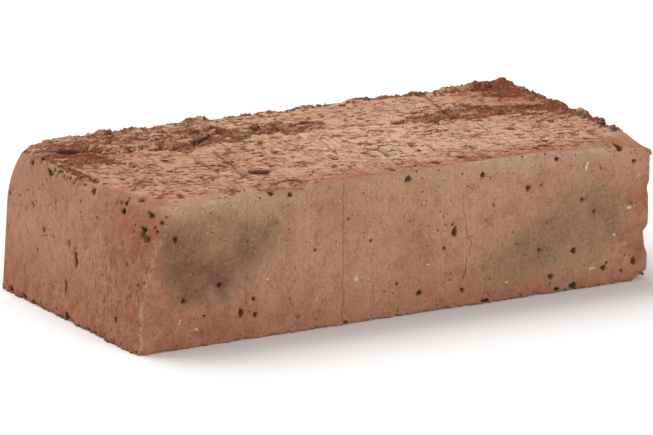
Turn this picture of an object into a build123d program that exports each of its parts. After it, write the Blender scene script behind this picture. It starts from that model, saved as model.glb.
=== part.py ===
"""Solid clay brick, extruded as a column and cut to height by a wire, then fired.

The stretcher and header faces ran along the die, so they are smooth. The two bed faces were
cut by the wire, so the upper one is dragged and torn. Units are millimetres, +X runs along the
length, +Z is up, and the origin is the centre of the brick's box on its lower bed.
"""
from build123d import *

import os
from math import cos, pi, sin

# Overall sizes of the fired brick
bed_length = 250.0
bed_width = 120.0
height = 64.0

# How the green brick went out of true as it was cut, handled and dried
left_end_lean = 3.6
right_end_flare = 0.95
right_end_drop = 2.0
back_drop = 1.15

# Arrises
die_corner_radius = 3.0
top_front_radius = 2.6
lower_arris_radius = 0.8

# Slumped front left corner: how far it reaches along the front, along the end, and down
slump_along_front = 13.0
slump_along_end = 48.0
slump_down = 14.0
slump_radius = 8.0

# Knocked back left corner of the top
knock_along_back = 12.0
knock_along_end = 14.0
knock_down = 13.0
knock_radius = 4.0

# Chip at the foot of the front right corner
foot_chip_along_front = 9.0
foot_chip_along_end = 10.0
foot_chip_up = 6.0

# Firing crack down the front stretcher face
crack_width = 0.5
crack_depth = 0.7

# Hollows where clay or grit broke away: corners round the outline, how uneven it is, and the
# floor's share of the outline
hollow_corners = 7
hollow_unevenness = 0.14
hollow_floor_share = 0.45

# Marks below are measured from the left, front or lower side of a face. A mark under zero is
# measured back from the opposite side, so each one stays by the side that it lies nearest.
# After its two marks, each hollow has a length, a width, a depth and a turn in degrees.
front_pits = [
    (15, -17, 3.6, 2.8, 1.3, 10),
    (20, 20, 3.0, 2.4, 1.0, 0),
    (48, 12, 4.6, 2.4, 1.0, 90),
    (101, 46, 3.4, 2.6, 1.1, 30),
    (-114, 9, 5.0, 3.4, 1.3, 15),
    (-97, 33, 5.2, 3.2, 1.5, 75),
    (-61, 48, 3.2, 2.4, 1.0, 0),
    (-38, 17.5, 3.6, 3.2, 1.4, 0),
    (-25, -11.5, 3.0, 2.4, 1.0, 20),
]
left_pits = [
    (1, -13, 6.0, 4.4, 1.6, 60),
    (-64, 27, 5.4, 4.0, 1.2, 80),
    (-63.5, 14.5, 5.6, 2.4, 1.1, 90),
    (-16, 39.5, 3.4, 2.8, 1.2, 0),
]
right_pits = [
    (38, 41, 4.0, 2.8, 1.2, 25),
    (-29, 18, 5.0, 2.6, 1.1, 80),
]
back_pits = [
    (-64, 44, 4.4, 3.0, 1.3, 15),
    (88, 22, 5.6, 2.8, 1.2, 85),
    (31, -17, 3.4, 2.8, 1.1, 0),
]

# Torn band where the wire pulled grit through the clay, and the hollows beside it
torn_patches = [
    (34, -25, 64, 22, 1.6, -4),
    (96, -37, 74, 17, 1.1, -5),
    (-42, -46, 92, 17, 1.5, -3),
    (-24, -32, 40, 24, 1.1, 8),
]
torn_hollows = [
    (71, 30, 11, 6.5, 1.5, 20),
    (82, 36, 6, 4.0, 1.1, 60),
    (-107, 8, 7, 4.5, 1.4, 70),
    (-90, 13, 7, 4.5, 1.4, 75),
    (11, 16, 6, 4.0, 1.0, 40),
    (-44, 44, 6, 4.5, 1.2, 30),
]

# Grooves that the dragged grit left, running with the wire from front to back
drag_grooves = [
    (66, 37, 48, 2.2, 0.9, 97),
    (-85, -60, 32, 2.2, 0.9, 93),
    (-47, -18, 34, 2.4, 1.0, 98),
    (-112, 40, 22, 2.0, 0.7, 95),
    (30, 58, 40, 2.0, 0.7, 96),
    (114, -34, 40, 1.8, 0.7, 94),
]

# Lumps of clay that the wire dragged up, each with a length, a width, a rise and a turn
raised_lumps = [
    (48, -5.5, 12, 6.0, 2.0, 0),
    (31, -7.6, 14, 7.0, 1.4, 8),
    (62, -8, 9, 5.0, 1.1, -8),
    (112, -5.5, 12, 5.0, 1.0, 3),
    (-74, -6, 10, 6.0, 1.2, 10),
    (-34, -7, 13, 7.0, 1.6, -5),
    (-14, -8, 11, 8.0, 1.8, 0),
]

# Chips along the arrises, as the mark along the arris, length, width and depth
front_foot_chips = [(-38, 9, 5.0, 1.6), (-81, 7, 4.0, 1.3), (100, 6, 3.6, 1.1)]
back_foot_chips = [(58, 9, 5.0, 1.5), (130, 6, 4.0, 1.1), (-66, 7, 4.0, 1.2)]
left_foot_chips = [(-9, 9, 5.0, 1.5), (-22, 7, 4.0, 1.2), (62, 6, 5.0, 1.3)]
right_foot_chips = [(44, 7, 4.4, 1.3), (-24, 9, 5.0, 1.4)]
left_top_chips = [(-23, 8, 4.4, 1.2), (-36, 7, 4.0, 1.3), (-48, 9, 5.0, 1.4), (-62, 6, 4.0, 1.1)]
back_top_chips = [(76, 9, 5.0, 1.3), (-95, 8, 4.4, 1.2), (-54, 9, 4.4, 1.4)]
right_top_chips = [(37, 8.4, 4.6, 1.2), (-43, 9, 5.0, 1.3)]
right_corner_chips = [(17, 15, 8.0, 3.0), (38, 12, 7.0, 2.3)]

# Points of the crack, as marks along the front face and up it
crack_points = [(-92, 47), (-90, 31), (-88, 25), (-92, 16), (-95, 11), (-93, 6)]

# Places worked out from the sizes above
left_x = -(bed_length + right_end_flare) / 2
left_top_x = left_x + left_end_lean
right_foot_x = left_x + bed_length
right_top_x = right_foot_x + right_end_flare
front_y = -bed_width / 2
back_y = bed_width / 2


def from_side(mark, size):
    """Distance from the first side of a face for a mark that may be given from the other."""
    return mark if mark >= 0 else size + mark


def top_height(along, inward):
    """Height of the upper bed, given the distances from its left end and its front."""
    return height - right_end_drop * along / bed_length - back_drop * inward / bed_width


def turned(plane, degrees):
    """The same plane with its x direction turned about its normal."""
    return plane.rotated((0, 0, degrees))


def front_spot(along, up):
    """Plane on the front stretcher face, facing out."""
    x = left_x + from_side(along, bed_length)
    z = from_side(up, height)
    return Plane(origin=(x, front_y, z), x_dir=(1, 0, 0), z_dir=(0, -1, 0))


def back_spot(along, up):
    """Plane on the back stretcher face, facing out."""
    x = left_x + from_side(along, bed_length)
    z = from_side(up, height)
    return Plane(origin=(x, back_y, z), x_dir=(-1, 0, 0), z_dir=(0, 1, 0))


def left_spot(inward, up):
    """Plane on the left header face, which leans in towards its top."""
    z = from_side(up, height)
    x = left_x + left_end_lean * z / height
    y = front_y + from_side(inward, bed_width)
    return Plane(origin=(x, y, z), x_dir=(0, -1, 0), z_dir=(-height, 0, left_end_lean))


def right_spot(inward, up):
    """Plane on the right header face, which flares out towards its top."""
    z = from_side(up, height)
    x = right_foot_x + right_end_flare * z / height
    y = front_y + from_side(inward, bed_width)
    return Plane(origin=(x, y, z), x_dir=(0, 1, 0), z_dir=(height, 0, -right_end_flare))


def top_spot(along, inward):
    """Plane on the wire-cut upper bed, which falls to the right and to the back."""
    along = from_side(along, bed_length)
    inward = from_side(inward, bed_width)
    origin = (left_x + along, front_y + inward, top_height(along, inward))
    normal = (right_end_drop / bed_length, back_drop / bed_width, 1)
    return Plane(origin=origin, x_dir=(1, 0, -normal[0]), z_dir=normal)


def plane_through(first, second, third):
    """Plane through three points that are named anticlockwise as seen from outside."""
    run = Vector(second) - Vector(first)
    return Plane(origin=first, x_dir=run, z_dir=run.cross(Vector(third) - Vector(first)))


def facing(plane):
    """Test for faces that point the way that a plane does."""
    return lambda face: face.normal_at().dot(plane.z_dir) > 0.9999


def upright(edge):
    """Whether an edge is one of the column's corners."""
    return abs(edge.tangent_at(0).Z) > 0.9


def along_front_of_top(edge):
    """Whether an edge is the long one between the front face and the upper bed."""
    middle = edge.center()
    return edge.length > bed_length / 2 and middle.Z > height / 2 and middle.Y < 0.9 * front_y


def hollow(length, width, depth):
    """Cutter for an angular hollow: an uneven outline on its plane, drawn in to its floor."""
    with BuildPart() as cutter:
        for level in (depth, -depth):
            share = 1 + (1 - hollow_floor_share) * level / depth
            corners = []
            for number in range(hollow_corners):
                angle = 2 * pi * number / hollow_corners
                reach = share * (1 + hollow_unevenness * sin(3 * angle + length))
                corners.append((reach * length / 2 * cos(angle), reach * width / 2 * sin(angle)))
            with BuildSketch(Plane.XY.offset(level)):
                with BuildLine():
                    Polyline(corners, close=True)
                make_face()
        loft(ruled=True)
    return cutter.part


def hollows(spot, marks):
    """Hollows placed on one face, each turned about the face's normal."""
    placed = []
    for along, across, length, width, depth, turn in marks:
        place = turned(spot(along, across), turn).location
        placed.append(place * hollow(length, width, depth))
    return placed


def lumps(spot, marks):
    """Lumps that stand proud of one face, each shaped as a hollow's cutter is, turned over."""
    placed = []
    for along, across, length, width, rise, turn in marks:
        place = -turned(spot(along, across), turn)
        placed.append(place.location * hollow(length, width, rise))
    return placed


def chips_along(start, end, out, marks):
    """Cutters for chips along the arris between two points, given the way out of the clay."""
    run = Vector(end) - Vector(start)
    cutters = []
    for mark, length, width, depth in marks:
        middle = Vector(start) + run.normalized() * from_side(mark, run.length)
        place = Plane(origin=middle, x_dir=run, z_dir=out)
        cutters.append(place.location * hollow(length, width, depth))
    return cutters


pits = hollows(front_spot, front_pits) + hollows(left_spot, left_pits)
pits += hollows(right_spot, right_pits) + hollows(back_spot, back_pits)
tears = hollows(top_spot, torn_patches + torn_hollows + drag_grooves)
raised = lumps(top_spot, raised_lumps)

# Corners of the lower and the upper bed, named as seen from the front
front_left_foot = (left_x, front_y, 0)
back_left_foot = (left_x, back_y, 0)
front_right_foot = (right_foot_x, front_y, 0)
back_right_foot = (right_foot_x, back_y, 0)
front_left_top = (left_top_x, front_y, top_height(0, 0))
back_left_top = (left_top_x, back_y, top_height(0, bed_width))
front_right_top = (right_top_x, front_y, top_height(bed_length, 0))
back_right_top = (right_top_x, back_y, top_height(bed_length, bed_width))

chips = chips_along(front_left_foot, front_right_foot, (0, -1, -1), front_foot_chips)
chips += chips_along(back_left_foot, back_right_foot, (0, 1, -1), back_foot_chips)
chips += chips_along(front_left_foot, back_left_foot, (-1, 0, -1), left_foot_chips)
chips += chips_along(front_right_foot, back_right_foot, (1, 0, -1), right_foot_chips)
chips += chips_along(front_left_top, back_left_top, (-1, 0, 1), left_top_chips)
chips += chips_along(back_left_top, back_right_top, (0, 1, 1), back_top_chips)
chips += chips_along(front_right_top, back_right_top, (1, 0, 1), right_top_chips)
chips += chips_along(front_right_foot, front_right_top, (1, -1, 0), right_corner_chips)

# The corners that went out of shape, each as the plane that takes it off
slump_plane = plane_through(
    (left_top_x + slump_along_front, front_y, top_height(slump_along_front, 0)),
    (left_top_x, front_y + slump_along_end, top_height(0, slump_along_end)),
    (left_x + left_end_lean * (1 - slump_down / height), front_y, height - slump_down),
)
knock_plane = plane_through(
    (left_top_x, back_y - knock_along_end, top_height(0, bed_width)),
    (left_top_x + knock_along_back, back_y, top_height(knock_along_back, bed_width)),
    (left_x + left_end_lean * (1 - knock_down / height), back_y, height - knock_down),
)
foot_chip_plane = plane_through(
    (right_foot_x - foot_chip_along_front, front_y, 0),
    (right_foot_x, front_y + foot_chip_along_end, 0),
    (right_foot_x, front_y, foot_chip_up),
)

with BuildPart() as brick:
    # Column of clay as it leaves the die, with its two ends as they lean
    with BuildSketch():
        Rectangle(bed_length + right_end_flare, bed_width)
    extrude(amount=height)
    split(bisect_by=left_spot(0, 0), keep=Keep.BOTTOM)
    split(bisect_by=right_spot(0, 0), keep=Keep.BOTTOM)

    # The wire's cut, then the corner that slumped and the one that was knocked
    split(bisect_by=top_spot(0, 0), keep=Keep.BOTTOM)
    split(bisect_by=slump_plane, keep=Keep.BOTTOM)
    fillet(brick.faces().filter_by(facing(slump_plane)).edges(), radius=slump_radius)
    split(bisect_by=knock_plane, keep=Keep.BOTTOM)
    fillet(brick.faces().filter_by(facing(knock_plane)).edges(), radius=knock_radius)

    # Arrises: the die's rounded corners, the softened front edge and the lower edges
    fillet(brick.edges().filter_by(upright), radius=die_corner_radius)
    split(bisect_by=foot_chip_plane, keep=Keep.BOTTOM)
    fillet(brick.edges().filter_by(along_front_of_top), radius=top_front_radius)
    fillet(brick.faces().sort_by(Axis.Z)[0].edges(), radius=lower_arris_radius)

    # Firing crack, as a narrow slot that follows its points
    with BuildSketch(front_spot(0, 0)):
        with BuildLine():
            Polyline([(from_side(along, bed_length), up) for along, up in crack_points])
        trace(line_width=crack_width)
    extrude(amount=-crack_depth, mode=Mode.SUBTRACT)

    # Clay dragged up on the wire-cut bed, then its tears, the pits and the chipped arrises
    add(raised)
    add(pits + tears + chips, mode=Mode.SUBTRACT)

brick.part.label = "brick"
os.makedirs("parts", exist_ok=True)
export_step(brick.part, "parts/brick.step")
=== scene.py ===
"""Looks of a fired clay brick: one closed body with its relief, its kiln colours with some painted shade
and highlight, and the studio.
"""
from math import cos, radians, sin

import bpy
import numpy as np
from mathutils import Matrix, Vector


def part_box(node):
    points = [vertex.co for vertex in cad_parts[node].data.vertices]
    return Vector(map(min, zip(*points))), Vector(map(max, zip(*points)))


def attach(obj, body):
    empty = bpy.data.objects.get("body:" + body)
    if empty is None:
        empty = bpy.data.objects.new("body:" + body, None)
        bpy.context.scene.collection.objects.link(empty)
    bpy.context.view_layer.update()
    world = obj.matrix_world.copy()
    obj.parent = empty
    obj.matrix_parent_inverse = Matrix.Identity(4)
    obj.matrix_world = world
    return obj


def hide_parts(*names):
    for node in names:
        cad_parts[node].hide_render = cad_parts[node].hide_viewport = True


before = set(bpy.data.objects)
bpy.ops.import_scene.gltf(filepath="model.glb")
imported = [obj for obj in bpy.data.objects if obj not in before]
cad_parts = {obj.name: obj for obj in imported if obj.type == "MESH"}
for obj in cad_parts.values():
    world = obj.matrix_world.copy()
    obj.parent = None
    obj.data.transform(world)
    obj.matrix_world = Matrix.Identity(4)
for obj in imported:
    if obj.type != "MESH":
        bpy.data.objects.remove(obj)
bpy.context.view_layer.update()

MM = 0.001
brick_low, brick_high = (np.array(corner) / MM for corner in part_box("brick"))

# Lay of the brick in millimetres, as all sizes of the clay are. TOP is its height at the front left.
TOP = 64.0
LEFT_LEAN = 3.6
RIGHT_FLARE = 0.95
RIGHT_DROP = 2.0
BACK_DROP = 1.15
LENGTH = brick_high[0] - brick_low[0]
WIDTH = brick_high[1] - brick_low[1]
SIZES = np.array([LENGTH, WIDTH, TOP])
ALONG, INWARD, UP = range(3)

# Spacing of the clay's mesh before it is thinned, and the triangles that stay
MESH_PITCH = 0.56
KEPT_TRIANGLES = 190000
SEED = 4


def smooth_step(value, low, high):
    """Zero under low, one over high, and a soft rise between. It falls where low is the larger."""
    share = np.clip((value - low) / (high - low), 0, 1)
    return share * share * (3 - 2 * share)


def grown(place, *ramps):
    """Product of soft ramps, each with its measure, where it is nought and where it is one."""
    share = 1.0
    for measure, start, end in ramps:
        share = share * smooth_step(place[:, measure], start, end)
    return share


class Lattice:
    """Closed box of evenly spaced points, counted from the front left foot, as its shell only."""

    def __init__(self):
        self.counts = np.maximum(np.round(SIZES / MESH_PITCH).astype(int), 2)
        self.quads = []
        self.uvs = []
        self.sides = []

    def key(self, points):
        """One number for each lattice point."""
        across, deep, _ = self.counts + 1
        return points[..., 0] + across * (points[..., 1] + deep * points[..., 2])

    def add_side(self, fixed, at_end, first, second, chart):
        """One side of the box as quads, with its rectangle of the map."""
        count_first, count_second = self.counts[first], self.counts[second]
        grid = np.zeros((count_first + 1, count_second + 1, 3), dtype=int)
        grid[..., fixed] = self.counts[fixed] if at_end else 0
        grid[..., first] = np.arange(count_first + 1)[:, None]
        grid[..., second] = np.arange(count_second + 1)[None, :]
        low_u, low_v, wide, tall = chart
        u = low_u + wide * np.arange(count_first + 1) / count_first
        v = low_v + tall * np.arange(count_second + 1) / count_second
        spread = np.stack(np.meshgrid(u, v, indexing="ij"), axis=-1)
        corners, charts = self.round_each(self.key(grid)), self.round_each(spread)
        runs_round_far_end = (second - first) % 3 == 1
        if at_end != runs_round_far_end:
            corners.reverse()
            charts.reverse()
        self.quads.append(np.stack([corner.ravel() for corner in corners], axis=1))
        self.uvs.append(np.stack([corner.reshape(-1, 2) for corner in charts], axis=1))
        self.sides.append(np.full(corners[0].size, len(self.sides)))

    @staticmethod
    def round_each(grid):
        """The four corners of each square of a grid, in turn."""
        return [grid[:-1, :-1], grid[1:, :-1], grid[1:, 1:], grid[:-1, 1:]]

    def finished(self):
        """Points as shares of the box, quads, map corners and the side of each quad."""
        kept, quads = np.unique(np.concatenate(self.quads), return_inverse=True)
        across, deep, _ = self.counts + 1
        points = np.stack([kept % across, kept // across % deep, kept // (across * deep)], axis=1)
        uvs, sides = np.concatenate(self.uvs), np.concatenate(self.sides)
        return points / self.counts, quads.reshape(-1, 4), uvs, sides


# Side of the square map in millimetres, and the gap between its rectangles
MAP_SIDE = 372.0
MAP_GAP = 1.0


def brick_lattice():
    """The six sides of the brick, each laid out on the map at one scale."""
    lattice = Lattice()
    long, wide, tall = SIZES / MAP_SIDE
    gap = MAP_GAP / MAP_SIDE
    second_row = 3 * gap + 2 * wide
    column = 2 * gap + long
    lattice.add_side(UP, True, ALONG, INWARD, (gap, gap, long, wide))
    lattice.add_side(UP, False, ALONG, INWARD, (gap, 2 * gap + wide, long, wide))
    lattice.add_side(INWARD, False, ALONG, UP, (gap, second_row, long, tall))
    lattice.add_side(INWARD, True, ALONG, UP, (gap, second_row + tall + gap, long, tall))
    lattice.add_side(ALONG, False, UP, INWARD, (column, gap, tall, wide))
    lattice.add_side(ALONG, True, UP, INWARD, (column, 2 * gap + wide, tall, wide))
    return lattice.finished()


def round_arris(depth_a, depth_b, radius):
    """How far each point near an arris moves in from its two faces to lie on a round."""
    near = (depth_a < radius) & (depth_b < radius)
    out_a, out_b = radius - depth_a, radius - depth_b
    reach = np.maximum(np.hypot(out_a, out_b), 1e-9)
    shift_a = np.where(near, out_a - out_a * radius / reach, 0)
    shift_b = np.where(near, out_b - out_b * radius / reach, 0)
    return shift_a, shift_b


# Radii of the arrises: two measures, whether it lies at the far end of each, and the radius
ARRISES = [
    (ALONG, 0, INWARD, 0, 3.2), (ALONG, 0, INWARD, 1, 2.6), (ALONG, 1, INWARD, 0, 2.8),
    (ALONG, 1, INWARD, 1, 2.6), (INWARD, 0, UP, 1, 3.0), (INWARD, 1, UP, 1, 1.2), (ALONG, 0, UP, 1, 1.0),
    (ALONG, 1, UP, 1, 1.3), (INWARD, 0, UP, 0, 0.9), (INWARD, 1, UP, 0, 0.9), (ALONG, 0, UP, 0, 0.9),
    (ALONG, 1, UP, 0, 0.9),
]


def rounded(shares):
    """Box with its arrises rounded, in millimetres from the front left foot."""
    place = shares * SIZES
    for first, first_end, second, second_end, radius in ARRISES:
        first_depth = SIZES[first] - place[:, first] if first_end else place[:, first]
        second_depth = SIZES[second] - place[:, second] if second_end else place[:, second]
        first_shift, second_shift = round_arris(first_depth, second_depth, radius)
        place[:, first] += -first_shift if first_end else first_shift
        place[:, second] += -second_shift if second_end else second_shift
    return place


def top_fall(along, inward):
    """How far the top lies under its front left corner."""
    return RIGHT_DROP * along / LENGTH + BACK_DROP * inward / WIDTH


def out_of_true(place):
    """Lean of the left end, flare of the right one and fall of the top, as the brick dried."""
    along, inward, up = place.T.copy()
    share = along / LENGTH
    climb = up / TOP
    along += LEFT_LEAN * climb * (1 - share) + RIGHT_FLARE * (climb - 1) * share
    up *= 1 - (RIGHT_DROP * share + BACK_DROP * inward / WIDTH) / TOP
    return np.stack([along, inward, up], axis=1)


def worn_to_plane(place, first, second, third, softness):
    """Clay beyond the plane through three points is pressed back to it, with a soft bend."""
    first, second, third = (np.array(point, dtype=float) for point in (first, second, third))
    normal = np.cross(second - first, third - first)
    normal = normal / np.linalg.norm(normal)
    beyond = (place - first) @ normal
    bend = np.clip(beyond + softness, 0, 2 * softness) ** 2 / (4 * softness)
    pressed = np.where(beyond > softness, beyond, bend)
    return place - pressed[:, None] * normal


# Planes that the worn corners were pressed back to: three points, and the softness of the bend
BACK_TOP = TOP - BACK_DROP
WORN_CORNERS = [
    ((14, 0, TOP), (LEFT_LEAN, 47, TOP), (3, 0, TOP - 14), 9),
    ((1.4, 0, 20), (11, 0, 49), (2.7, 12, 49), 2.5),
    ((LEFT_LEAN, WIDTH - 13, BACK_TOP), (14, WIDTH, BACK_TOP), (3, WIDTH, BACK_TOP - 13), 7),
    ((LENGTH - 9, 0, 0), (LENGTH, 10, 0), (LENGTH, 0, 5), 1.5),
]

# How far the front top arris sags, and how far its right corner droops
ARRIS_SAG = 1.9
CORNER_DROOP = 5.2


def slumped(place):
    """Corners that were knocked or pressed, and the sag of the front top arris and its right corner."""
    for first, second, third, softness in WORN_CORNERS:
        place = worn_to_plane(place, first, second, third, softness)
    right_top = TOP - RIGHT_DROP
    sagging = grown(place, (ALONG, 12, 20), (ALONG, 88, 72))
    sagging += 0.8 * grown(place, (ALONG, 200, 216), (ALONG, 246, 236))
    sagging *= grown(place, (INWARD, 8, 1)) * grown(place, (UP, TOP - 9, TOP - 1))
    drooping = grown(place, (ALONG, LENGTH - 26, LENGTH + 6), (INWARD, 32, 4))
    drooping *= grown(place, (UP, right_top - 18, right_top))
    place[:, UP] -= ARRIS_SAG * sagging + CORNER_DROOP * drooping
    return place


# Teeth of clay that the wire left hanging over the top of the left end
TEETH_SPACING = 1.3
TEETH_LEAST_DROP = 0.5
TEETH_MORE_DROP = 3.6
TEETH_PROUD = 0.6
# Depth of the hollow under the teeth, which the paint also darkens as a painted shadow
TEETH_SHADOW_HOLLOW = 0.8


def hanging_teeth(place):
    """How far ragged teeth stand out over the top of the left end, and the depth under them, which the
    paint also darkens as a painted shadow.
    """
    along, inward, up = place.T
    dice = np.random.default_rng(SEED)
    marks = np.arange(0, WIDTH + TEETH_SPACING, TEETH_SPACING)
    drops = TEETH_LEAST_DROP + TEETH_MORE_DROP * dice.random(len(marks)) ** 2.4
    marks = marks + TEETH_SPACING * 0.7 * dice.random(len(marks))
    over = up - (TOP - BACK_DROP * inward / WIDTH - np.interp(inward, marks, drops))
    run = grown(place, (INWARD, 40, 48), (INWARD, 86, 78))
    run = run * smooth_step(along - LEFT_LEAN * up / TOP, 1.6, 0.6)
    under = smooth_step(over, -1.8, -0.6) * smooth_step(over, 0.1, -0.5)
    return TEETH_PROUD * run * smooth_step(over, -0.25, 0.3), TEETH_SHADOW_HOLLOW * run * under


# Listed marks: two measures on the face, long, wide, deep, and a turn in degrees for some.
# The first measure is from the left on the front, the back and the top, from the back on the left
# end and from the front on the right one. The second is the height, or from the front on the top.
FRONT_MARKS = [
    (18, 47.8, 2.4, 3.6, 1.5), (22, 20.8, 2.8, 2.8, 1.2), (39, 25.5, 3.4, 2.6, 1.2, 20),
    (49.5, 12, 4.6, 2.8, 1.4, 90), (56.3, 10.3, 2.2, 3.2, 1.3), (32, 13, 2.2, 2, 0.9),
    (26, 13, 1.2, 1.2, 0.5), (55.5, 17.3, 2.4, 2.4, 1.1), (85, 34.5, 2.2, 1.8, 0.8),
    (101, 46, 1.8, 1.8, 0.8), (112, 35, 1.8, 2, 0.8), (131, 41, 1.8, 1.4, 0.6),
    (125, 14.5, 2.6, 1.8, 0.9, 60), (119, 12, 2, 1.4, 0.7, 30), (79, 12, 1.6, 1.2, 0.5, 60),
    (136, 9, 3.6, 3, 1.1, 15), (100, 1, 2.6, 2, 1.2), (73, 60, 2.6, 2.6, 1.3), (64.5, 61.5, 3.6, 2.4, 1.2),
    (130, 59.6, 4, 3.2, 1.3, 20), (166.5, 56.7, 2.6, 3.2, 1.2), (189, 48, 3.2, 3.6, 1),
    (195.5, 48.5, 1.6, 1.6, 0.7), (203, 59, 2.8, 2.4, 1.2), (225, 52.5, 2, 1.8, 0.8),
    (241.7, 53.2, 2.6, 2.2, 1.1, 20), (235.5, 59.6, 4.6, 3.6, 1.9, 10), (153, 33.5, 5.4, 3, 1.5, 80),
    (152, 37, 3, 1.6, 0.8, 70), (148, 27, 2.2, 2, 0.9), (149, 37, 1.6, 2, 0.7), (172, 43, 1.6, 2, 0.8),
    (168.5, 36.5, 1.6, 2, 0.6), (163, 26, 1.2, 1.2, 0.6), (184, 24, 2, 1.6, 0.6), (195, 20, 2.6, 2.4, 0.9),
    (212, 17.5, 2.8, 3.2, 1.5), (216, 39.5, 2.6, 2.4, 1.1), (222, 33.5, 2.8, 1.8, 0.9, 50),
    (241, 35, 1.8, 2.4, 0.8), (243, 32, 1.2, 1.2, 0.5), (201, 7.5, 3.6, 3, 1.1), (227, 8, 3.2, 3, 1.2, 30),
    (228.5, 10, 1.8, 1.8, 1), (242, 9, 3, 4, 1.2), (236, 5.5, 1.8, 2.4, 0.8, 30), (212, 2, 4.4, 3.4, 1.6),
    (204, 1.5, 3.4, 2, 1.3), (200.5, 4, 1.2, 3, 0.7), (168.5, 1.2, 4.6, 2, 1.6),
    (157, 7.5, 3.4, 2, 1.1, 120), (77, 6.5, 3.4, 2, 0.5, 10), (186, 1.5, 2, 1.6, 0.8),
    (193, 2, 1.8, 1.4, 0.7), (217, 54, 1.6, 4.4, 0.35, -15), (92, 60.5, 2, 1.4, 0.6),
    (35, 57, 1.8, 1.2, 0.5), (7, 52, 2.4, 3, 1), (10, 58, 3, 3.6, 1, 30), (234, 39, 1, 1.4, 0.5),
    (232, 35, 1, 1, 0.4), (178, 28, 1, 1.6, 0.5), (183, 31, 1, 1, 0.4),
]
LEFT_MARKS = [
    (4, 42.5, 1.6, 2.2, 0.9), (25, 42, 1.8, 2.6, 1), (14, 39.5, 1.4, 2, 0.7), (35, 34, 2.8, 3.2, 1, 20),
    (31, 24, 1.6, 2.8, 0.8, 20), (44, 48.5, 1.2, 3.4, 0.7, -8), (57, 33, 2.4, 4, 1.2),
    (64, 27, 3.4, 7.4, 1, 18), (63, 30, 4, 3, 0.9), (56.5, 14.5, 2.2, 7.4, 1.4), (90, 17.5, 1.6, 4.2, 0.9),
    (100, 11, 2.8, 3.4, 1.2), (46, 12, 1.6, 1.8, 0.6), (49, 3, 2, 2, 0.8), (58, 2, 4.4, 4.6, 1.5),
    (65, 53.5, 1.6, 2, 0.8), (74, 59.5, 3.6, 4, 1), (98, 60, 2.6, 3.4, 1.1), (98, 56.5, 4.6, 3, 0.9),
    (112, 14, 1.2, 1.2, 0.4), (20, 14, 2.4, 3.6, 0.4, 30), (38, 11, 1.2, 1.6, 0.6), (83, 53, 1.2, 1.4, 0.5),
    (87, 54, 1, 1.4, 0.5), (101, 47, 1, 1.4, 0.4), (54, 44, 2.2, 1, 0.3), (112, 46, 1, 1.4, 0.4),
    (9, 2, 4.4, 3.4, 1.4), (20, 1.5, 4.4, 3.4, 1.4), (29, 1, 3.8, 2.8, 1.2), (36, 1, 3, 2, 0.9),
    (83, 1, 3, 2, 0.8), (70, 0.5, 4, 2, 0.8), (38, 59.5, 4, 4, 1.4), (22, 60, 3.6, 3, 1.2),
    (93, 20.5, 2.4, 0.8, 0.3, 30),
]
TOP_MARKS = [
    (74.6, 29.5, 10.5, 8.8, 1.3, -28), (84, 36.2, 3, 5, 1.1), (87, 34.6, 2.4, 4, 0.9),
    (113.7, 33.9, 4, 6, 1.3), (129.8, 35.7, 5, 6, 1.3), (125.2, 41.3, 3.4, 5, 1), (80.9, 9.3, 4.4, 7, 1.2),
    (125.4, 6.2, 4, 6, 1.2), (140.2, 49.9, 4.4, 6, 1.2), (134.9, 68.7, 4, 5, 1.1),
    (162.6, 12.3, 5.4, 7, 1.4, -20), (148.5, 8.7, 4.4, 7, 1.3, -20), (206.7, 44.4, 5.4, 6, 1.5),
    (217.6, 69, 7, 6.4, 1.9), (209, 20, 4.4, 6, 1.2), (198.7, 10, 4.4, 5.4, 1.1), (173.3, 6.6, 3.6, 5, 1),
    (168.2, 75.1, 5, 5, 1.2), (195.5, 73.3, 4.4, 5, 1.1), (153.9, 38, 3.6, 5, 1),
    (110.2, 97, 9, 4.4, 1.3, -25), (119, 93, 5, 4, 1.1), (96, 85, 9, 5, 1.3, -20),
    (110, 78, 7, 5, 1.2, -20), (127.1, 85, 6, 5, 1.2, -10), (11, 16, 3.4, 4.4, 1), (37, 28, 3.4, 6, 1.1),
    (50, 10, 3, 3.4, 0.8), (20, 97, 12, 8, 1.6, -30), (180, 47, 4, 3, 0.8), (229, 47, 4, 5, 0.9),
    (32, 62, 3.4, 4.4, 0.9), (52, 70, 3.4, 4.4, 0.9), (88, 67, 5, 4.4, 1.1), (177, 86, 5, 4, 1.1),
    (187, 87, 4, 4, 1), (235, 76, 5, 5, 1.2), (60, 56, 2.6, 5, 0.8), (152, 62, 3.4, 4, 0.8),
    (250, 34, 7, 8, 2),
]
BACK_MARKS = [
    (64, 44, 4, 2.8, 1.2, 15), (162, 22, 2.6, 5, 1.2, 5), (219, 47, 3.2, 2.6, 1), (30, 12, 2.4, 2.2, 0.9),
    (100, 30, 2, 2.4, 0.8), (121, 52, 2.4, 2, 0.9), (190, 9, 3, 2.6, 1), (205, 33, 1.8, 2.6, 0.8),
    (84, 9, 2.6, 2, 0.8, 30), (142, 40, 1.6, 1.8, 0.6), (48, 28, 1.8, 1.6, 0.6), (237, 20, 2, 2.4, 0.8),
    (12, 50, 2.2, 2, 0.8), (178, 54, 2.4, 1.8, 0.8), (112, 2, 4, 2.4, 1.2),
]
RIGHT_MARKS = [
    (38, 41, 3.4, 2.6, 1.1, 25), (91, 18, 2.4, 4.6, 1.1, 5), (60, 24, 2, 2.2, 0.8), (20, 14, 2.2, 1.8, 0.8),
    (75, 50, 2.6, 2, 0.8), (104, 44, 1.8, 2, 0.7), (48, 9, 1.8, 2.2, 0.7), (112, 8, 3.4, 3, 1),
    (84, 35, 1.4, 1.6, 0.5),
]

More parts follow.
